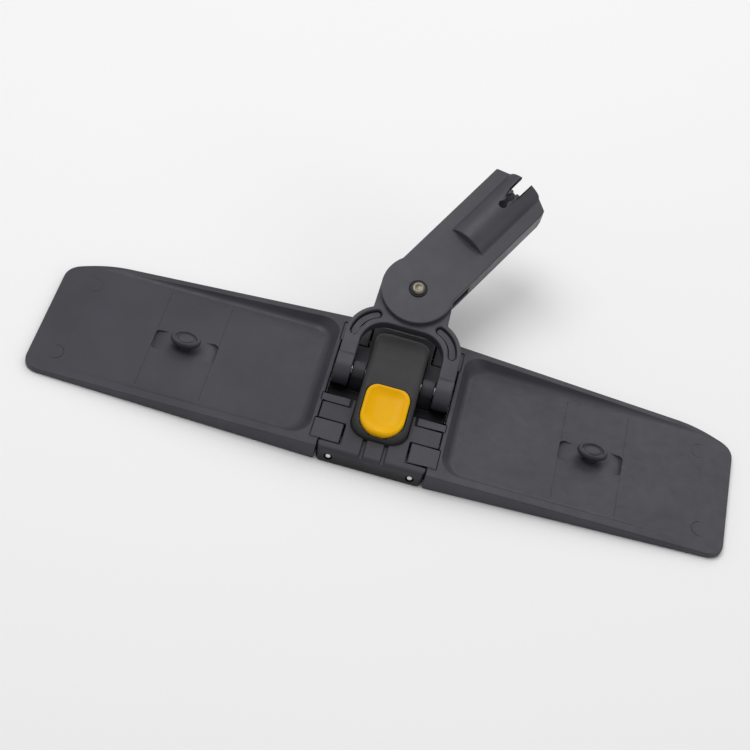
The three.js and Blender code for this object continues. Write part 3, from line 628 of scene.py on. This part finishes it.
# Fine lines in line with the dishes' ends, and faint rings left by the mould's pins
def wingMarks(wing):
    w = wingSizes
    start = w["dishHalf"] - w["lineGap"]
    for x in (knobX - w["dishEnd"], knobX + w["dishEnd"]):
        for ends in ((start, w["lineEnd"]), (-w["lineEnd"], -start)):
            cutAway(wing, plainBlock(x - w["lineHalf"], x + w["lineHalf"], *ends,
                                     w["floor"] - w["lineDepth"], w["floor"] + 2))
    for place in w["marks"]:
        low = min(w["floor"], rimAt(place[0])) - w["markDepth"]
        ringTool = newPiece("ringTool", rodSolid(w["markOuter"], "z", low, low + 4, place, 48))
        cutAway(ringTool, rodSolid(w["markInner"], "z", low - 1, low + 5, place, 48))
        cutAway(wing, takenMesh(ringTool))


# The pocket's upper edge is rolled over into the rim
def roundRim(wing):
    w = wingSizes
    wholeFaces(wing)
    bm = bmesh.new()
    bm.from_mesh(wing.data)
    edges = []
    for e in bm.edges:
        ends = [v.co / mm for v in e.verts]
        onRim = all(abs(p.z - rimAt(p.x)) < 0.02 for p in ends)
        inside = all(frontAt(p.x) + w["rimSide"] < p.y < rearAt(p.x) - w["rimSide"] for p in ends)
        along = all(w["rimStart"] < p.x < w["rimEnd"] for p in ends)
        if onRim and inside and along and e.calc_face_angle(0) > math.radians(20):
            edges.append(e)
    bmesh.ops.bevel(bm, geom=edges, offset=w["rimRound"] * mm, offset_type="OFFSET", segments=4,
                    profile=0.5, affect="EDGES", material=-1, clamp_overlap=True)
    bm.to_mesh(wing.data)
    bm.free()


def makeWing(side):
    w = wingSizes
    g = w["gap"]
    node = "left_wing" if side < 0 else "right_wing"
    wing = newPiece(camelName(node), wingTray())
    cutAway(wing, wingPocketTool())
    roundRim(wing)
    cutAway(wing, plainBlock(w["root"] - 5, w["lugX"], -w["lugOuter"] - g, w["lugOuter"] + g, -1, 20))
    joinOn(wing, knuckleBlock(-w["cheekInner"] + g, -w["lugOuter"] - g),
           knuckleBlock(w["lugOuter"] + g, w["cheekInner"] - g),
           knuckleBlock(-w["lugInner"] + g, -w["wellFront"]))
    pinX, _, pinZ = pivot("right_wing_fold")
    cutAway(wing, rodSolid(w["pinHole"], "y", -60, 60, (pinX, pinZ), 32),
            dishTool(-1), dishTool(1), rodSolid(w["knobHole"], "z", -1, 8, (knobX, 0), 40),
            rodSolid(w["screwHole"], "z", -1, w["screwDepth"], (knobX, 0), 40))
    wholeFaces(wing)
    roundOff(wing, w["edge"], 3, 40)
    wingMarks(wing)
    if side < 0:  # the left wing is the right one mirrored
        bm = bmesh.new()
        bm.from_mesh(wing.data)
        bmesh.ops.scale(bm, verts=bm.verts, vec=(-1, 1, 1))
        bmesh.ops.recalc_face_normals(bm, faces=bm.faces)
        bm.to_mesh(wing.data)
        bm.free()
    shade(wing)
    settle(wing, node, charcoal)


# Stud knobs: oval mushroom heads with a rolled lip round a shallow hollow
knobSizes = {"length": 17.5, "width": 11.8, "top": 11.2, "seat": 2.3, "stem": 3.2,
             "neck": 4.4, "neckLow": 4.3, "neckHigh": 7.6}


def makeKnob(side):
    k = knobSizes
    node = "left_knob" if side < 0 else "right_knob"
    t, r = k["top"], k["length"] / 2
    place = (side * knobX, 0)
    profile = [(0, 4.5), (0.5 * r, 4.5), (0.52 * r, t - 4.3), (0.6 * r, t - 4.0), (0.86 * r, t - 3.5),
               (0.95 * r, t - 3.1), (0.99 * r, t - 2.5), (1.0 * r, t - 1.9), (0.985 * r, t - 1.2),
               (0.93 * r, t - 0.5), (0.86 * r, t - 0.1), (0.79 * r, t), (0.74 * r, t - 0.15),
               (0.70 * r, t - 0.7), (0.67 * r, t - 1.1), (0.60 * r, t - 1.2), (0.54 * r, t - 1.0),
               (0.5 * r, t - 0.7), (0.42 * r, t - 0.55), (0.2 * r, t - 0.5), (0, t - 0.5)]
    bm = spunSolid(profile, 80)
    bmesh.ops.scale(bm, verts=bm.verts, vec=(1, k["width"] / k["length"], 1))
    bmesh.ops.translate(bm, verts=bm.verts, vec=(place[0] * mm, 0, 0))
    knob = newPiece(camelName(node), bm)
    joinOn(knob, rodSolid(k["stem"], "z", k["seat"], 6, place, 48),
           rodSolid(k["neck"], "z", k["neckLow"], k["neckHigh"], place, 48))
    softenEdges(knob, 0.15, 2, 50)
    settle(knob, node, charcoal)


# Release cover: a smooth hump, falling to the button in front and rounded off behind
coverSizes = {
    "half": 16.0, "front": -38.0, "rear": 43.0, "floor": 3.3, "crown": 25.5,
    "frontRadius": 10.5, "rearRadius": 12.0, "topRound": 3.4,
    "faceRear": 25.5, "faceRearY": -8.0, "slope": 0.3226, "stand": 1.3,
    "windowFloor": 10.3, "windowTop": 40.0, "hollowTop": 12.0,
    # half width, front, rear, front radius, rear radius
    "window": (12.95, -36.95, -7.65, 11.35, 6.85),
    "hollow": (13.95, -37.25, 40.0, 9.0, 8.0),
    "boltFront": -34.4, "boltRear": -27.6, "boltTop": 8.9, "axleHole": 3.3,
    "edge": 0.4,
}


# Height of the button's leaning face
def faceHeight(y):
    c = coverSizes
    return c["faceRear"] + (y - c["faceRearY"]) * c["slope"]


def roundedBlock(outline, z0, z1, segments=14):
    half, front, rear, frontRadius, rearRadius = outline
    bm = plainBlock(-half, half, front, rear, z0, z1)
    roundEdges(bm, lambda c, d: upright(d) and abs(c.y - front) < 0.01, frontRadius, segments)
    roundEdges(bm, lambda c, d: upright(d) and abs(c.y - rear) < 0.01, rearRadius, segments)
    return bm


# Height of the hump along its middle: bezel, crown, then a long fall behind
def humpLine():
    c = coverSizes
    top = c["crown"]
    meet = (top - c["faceRear"] + c["stand"]) / c["slope"] + c["faceRearY"]
    line = [(c["front"], faceHeight(c["front"]) - c["stand"])]
    line += bend((meet - 8, top - 8 * c["slope"]), (meet, top), (meet + 8, top), 14)
    line += bend((10, top), (30, top - 0.8), (38, top - 6.6), 24)
    line += bend((38, top - 6.6), (42.4, top - 9.8), (c["rear"], top - 17), 14)[1:]
    return line


def heightOn(line, y):
    for (y0, z0), (y1, z1) in zip(line, line[1:]):
        if y <= y1:
            return z0 + (z1 - z0) * (y - y0) / (y1 - y0)
    return line[-1][1]


# A convex hump: its outline drawn in step by step as it rises over a rounded brim
def coverHump():
    c = coverSizes
    line = humpLine()
    r = c["topRound"]
    low, rings = [], []
    for step in range(9):
        turn = math.radians(90 * step / 8)
        inset = r * (1 - math.cos(turn))
        half, front, rear = c["half"] - inset, c["front"] + inset, c["rear"] - inset
        plan = roundedPlan(-half, half, front, rear, c["frontRadius"] - inset, c["rearRadius"] - inset, 16)
        plan += [(x, y) for y, _ in line for x in (-half, half)
                 if front + c["frontRadius"] < y < rear - c["rearRadius"]]
        rings += [(x, y, heightOn(line, y) - r * (1 - math.sin(turn))) for x, y in plan]
        if step == 0:
            low = [(x, y, c["floor"]) for x, y in plan]
    return wedgeBlock(low, rings)


def makeCover():
    c = coverSizes
    _, axleY, axleZ = pivot("yoke_tilt")
    cover = newPiece("releaseCover", coverHump())
    cutAway(cover, roundedBlock(c["window"], c["windowFloor"], c["windowTop"]),
            roundedBlock(c["hollow"], -1, c["hollowTop"]),
            plainBlock(-20, 20, c["boltFront"], c["boltRear"], 0, c["boltTop"]),
            rodSolid(c["axleHole"], "x", -40, 40, (axleY, axleZ), 40))
    softenEdges(cover, c["edge"], 3, 50)
    settle(cover, "release_cover", darkTone)


# Foot button: a leaning pad with a shallow thumb-shaped dish, on two wedge fins
buttonSizes = {
    "half": 12.6, "front": -36.6, "rear": -8.0, "under": 12.1, "frontRadius": 11.0,
    "rearRadius": 6.5, "edge": 1.4, "dishRim": 1.6, "dishWall": 6.0, "dishDepth": 1.7,
    "spring": 5.5, "springY": -21.8, "springDepth": 2.5,
    "finLow": 6.8, "finInner": 8.92, "finOuter": 10.1, "finFront": -32.6, "finRear": -29.4,
    "finFoot": 1.8,
}


def makeButton():
    b = buttonSizes
    plan = [(x, y) for x in (-b["half"], b["half"]) for y in (b["front"], b["rear"])]
    bm = wedgeBlock([(x, y, b["under"]) for x, y in plan], [(x, y, faceHeight(y)) for x, y in plan])
    roundEdges(bm, lambda c, d: upright(d) and abs(c.y - b["front"]) < 0.01, b["frontRadius"], 18)
    roundEdges(bm, lambda c, d: upright(d) and abs(c.y - b["rear"]) < 0.01, b["rearRadius"], 16)
    roundEdges(bm, lambda c, d: c.z > b["under"] + 1 and abs(c.z - faceHeight(c.y)) < 0.02,
               b["edge"], 6)
    button = newPiece("footButton", bm)
    springTop = b["under"] + b["springDepth"]
    cutAway(button, rodSolid(b["spring"], "z", 5, springTop, (0, b["springY"]), 40), thumbDish())
    joinOn(button, buttonFin(-1), buttonFin(1))
    shade(button)
    settle(button, "foot_button", yellow)


# A sunken pad with sloping walls, square to the leaning face
def thumbDish():
    b = buttonSizes
    middle = (b["front"] + b["rear"]) / 2
    length = (b["rear"] - b["front"]) / 2 / math.cos(math.atan(coverSizes["slope"]))
    above = 1.0
    levels = [(b["dishRim"] - above * b["dishWall"] / b["dishDepth"] / 2, above)]
    levels += [(b["dishRim"] + b["dishWall"] * (1 - s), -b["dishDepth"] * (1 - s * s))
               for s in (1, 0.86, 0.72, 0.58, 0.44, 0.3, 0.15, 0)]
    corners = []
    for inset, z in levels:
        plan = roundedPlan(inset - b["half"], b["half"] - inset, inset - length, length - inset,
                           b["frontRadius"] - inset * 0.8, b["rearRadius"] - inset * 0.55)
        corners += [(x, y, z) for x, y in plan]
    bm = wedgeBlock(corners, [])
    turn = Matrix.Rotation(math.atan(coverSizes["slope"]), 3, "X")
    bmesh.ops.rotate(bm, verts=bm.verts, matrix=turn, cent=(0, 0, 0))
    bmesh.ops.translate(bm, verts=bm.verts, vec=(0, middle * mm, faceHeight(middle) * mm))
    return bm


# A fin that leans inwards at 45 degrees as it rises, and pushes the bolt beside it
def buttonFin(side):
    b = buttonSizes
    low, high, inner, outer = b["finLow"], b["under"] + 0.5, b["finInner"], b["finOuter"]
    lean = high - low - b["finFoot"]
    profile = [(inner, low), (outer, low), (outer, high), (inner - lean, high),
               (inner - lean, high - b["finFoot"])]
    corners = [(side * x, y, z) for x, z in profile for y in (b["finFront"], b["finRear"])]
    return wedgeBlock(corners, [])


# Turned steel with broken edges: hinge pins lie along Y, the axle and its caps along X
turnedEdge = 0.35


def makeTurned(node):
    low, high = cadBox(node)
    along = 1 if node.endswith("pin") else 0
    others = [i for i in range(3) if i != along]
    place = [(low[i] + high[i]) / 2 for i in others]
    radius = max(high[i] - low[i] for i in others) / 2
    turned = newPiece(camelName(node), rodSolid(radius, "xyz"[along], low[along], high[along], place, 48))
    softenEdges(turned, turnedEdge, 3, 50)
    settle(turned, node, bright)


# Swivel rivet: a flat-topped head with a rolled edge and a shallow centre
rivetSizes = {"head": 3.9, "shank": 2.9, "top": 9.4, "under": 7.9, "edge": 0.1}


def makeRivet():
    r = rivetSizes
    h, t, u = r["head"], r["top"], r["under"]
    profile = [(0, -t + 0.4), (h - 1.3, -t + 0.4), (h - 0.9, -t + 0.5), (h - 0.1, -u - 0.2), (h, -u),
               (r["shank"], -u), (r["shank"], u), (h, u), (h, u + 0.35), (h - 0.2, t - 0.5),
               (h - 0.7, t - 0.12), (h - 1.3, t), (1.9, t), (1.7, t - 0.12), (1.5, t - 0.22), (0, t - 0.22)]
    bm = spunSolid(profile, 64)
    leanTo(bm, pivot("socket_swing"))
    rivet = newPiece("swivelRivet", bm)
    softenEdges(rivet, r["edge"], 2, 50)
    settle(rivet, "swivel_rivet", rivetSteel())


# Leans a shape back as the yoke does, then moves its origin to the place
def leanTo(bm, place):
    turn = Matrix.Rotation(math.radians(yokeLean), 3, "X")
    bmesh.ops.rotate(bm, verts=bm.verts, matrix=turn, cent=(0, 0, 0))
    bmesh.ops.translate(bm, verts=bm.verts, vec=Vector(place) * mm)


# Centre plate, with a counterbored ring round each pin's end
plateSizes = {"ring": 2.5, "ringDepth": 1.5, "edge": 0.6,
              "cheekX": 30.4, "cheekInner": 46.8, "cornerRound": 3.4}


# The lower outside corner of each cheek is rounded off under its pin
def cornerTool(side, end, high):
    p = plateSizes
    r, x = p["cornerRound"], p["cheekX"] - p["cornerRound"]
    xs = sorted((side * x, side * (p["cheekX"] + 1)))
    ys = sorted((end * (p["cheekInner"] - 0.5), end * (high.y + 1)))
    corner = newPiece("cornerTool", plainBlock(*xs, *ys, -1, r))
    cutAway(corner, rodSolid(r, "y", ys[0] - 1, ys[1] + 1, (side * x, r), 64))
    return takenMesh(corner)


def makePlate():
    p = plateSizes
    pinX, _, pinZ = pivot("right_wing_fold")
    low, high = cadBox("centre_plate")
    plate = rawCopy("centre_plate", "centrePlate")
    wholeFaces(plate, 0.3)
    roundOff(plate, p["edge"], 3)
    for x in (-pinX, pinX):
        cutAway(plate, rodSolid(p["ring"], "y", low.y - 1, low.y + p["ringDepth"], (x, pinZ), 32),
                rodSolid(p["ring"], "y", high.y - p["ringDepth"], high.y + 1, (x, pinZ), 32))
    for side in (-1, 1):
        for end in (-1, 1):
            cutAway(plate, cornerTool(side, end, high))
    shade(plate)
    settle(plate, "centre_plate", platePlastic())


# Yoke, with a fine groove round the floor of each curved pocket; start and end are in radians
yokeSizes = {"shoulderX": 13.1, "rise": 21.5, "radius": 15.7, "half": 2.5, "start": 0.09, "end": 1.22,
             "groove": 0.85, "low": -0.4, "high": 2.6, "edge": 0.8}


# A bent slot with round ends, as a prism across the yoke
def kidneyPrism(side, half, low, high):
    y = yokeSizes
    r, start, end = y["radius"], y["start"], y["end"]
    sideShares = [i / 24 for i in range(25)]
    endShares = [i / 12 for i in range(1, 12)]
    points = arc((0, 0), r + half, start, end, sideShares)
    points += arc((r * math.cos(end), r * math.sin(end)), half, end, end + math.pi, endShares)
    points += arc((0, 0), r - half, end, start, sideShares)
    points += arc((r * math.cos(start), r * math.sin(start)), half, start + math.pi, start + math.tau,
                  endShares)
    bm = bmesh.new()
    face = bm.faces.new([bm.verts.new((side * (y["shoulderX"] + a) * mm, (y["rise"] + b) * mm, low * mm))
                         for a, b in points])
    grown = bmesh.ops.extrude_face_region(bm, geom=[face])["geom"]
    bmesh.ops.translate(bm, vec=(0, 0, (high - low) * mm),
                        verts=[v for v in grown if isinstance(v, bmesh.types.BMVert)])
    bmesh.ops.recalc_face_normals(bm, faces=bm.faces)
    leanTo(bm, pivot("yoke_tilt"))
    return bm


def makeYoke():
    y = yokeSizes
    yoke = rawCopy("yoke", "yoke")
    wholeFaces(yoke, 0.3)
    roundOff(yoke, y["edge"], 3)
    for side in (-1, 1):
        ringTool = newPiece("ringTool", kidneyPrism(side, y["half"], y["low"], y["high"]))
        cutAway(ringTool, kidneyPrism(side, y["half"] - y["groove"], y["low"] - 1, y["high"] + 1))
        cutAway(yoke, takenMesh(ringTool))
    shade(yoke)
    settle(yoke, "yoke", paintedLightTone)


# The handle socket keeps its CAD shape, with rolled edges
def makeSocket():
    socket = mergedCopy("handle_socket", "handleSocket")
    softenEdges(socket, 0.7)
    settle(socket, "handle_socket", paintedLightTone)


# Every small piece not made above keeps its CAD shape, with finely broken edges
def carryOver():
    for node in frame["nodes"]:
        if node not in settled:
            piece = mergedCopy(node, camelName(node))
            softenEdges(piece, 0.2, 2)
            settle(piece, node, finishes[slotOf[node]])
            if node == "button_spring":
                squashSpring(piece)


# Gives the spring a mesh of its own
def squashSpring(spring):
    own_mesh(spring)


print("frame loaded")
makeCamera()
makeFloor()
makeLamps()
print("studio made")

charcoal = charcoalPlastic()
# A lighter copy of the charcoal for the yoke and socket: painted light
paintedLightTone = jointPlastic()
darkTone = darkPlastic()
yellow = yellowPlastic()
bright = turnedSteel()
plain = plainSteel()
finishes = {"dark_plastic": darkTone, "charcoal_plastic": charcoal, "bush_plastic": bushPlastic(),
            "steel": bright, "spring_steel": plain, "bolt_steel": plain}
slotOf = {s["node"]: s["material_slot"] for s in frame["record"]["subparts"]}
settled = set()
print("finishes made")

makeWing(1)
makeWing(-1)
print("wings made")
makeKnob(1)
makeKnob(-1)
print("knobs made")
makeCover()
makeButton()
print("cover and foot button made")
makePlate()
makeYoke()
makeSocket()
makeRivet()
print("plate, yoke, socket and rivet made")
for side in ("left", "right"):
    makeTurned(side + "_front_hinge_pin")
    makeTurned(side + "_rear_hinge_pin")
    makeTurned(side + "_axle_cap")
makeTurned("yoke_axle")
carryOver()
print("pins, bushes, screws, spring and bolts made")
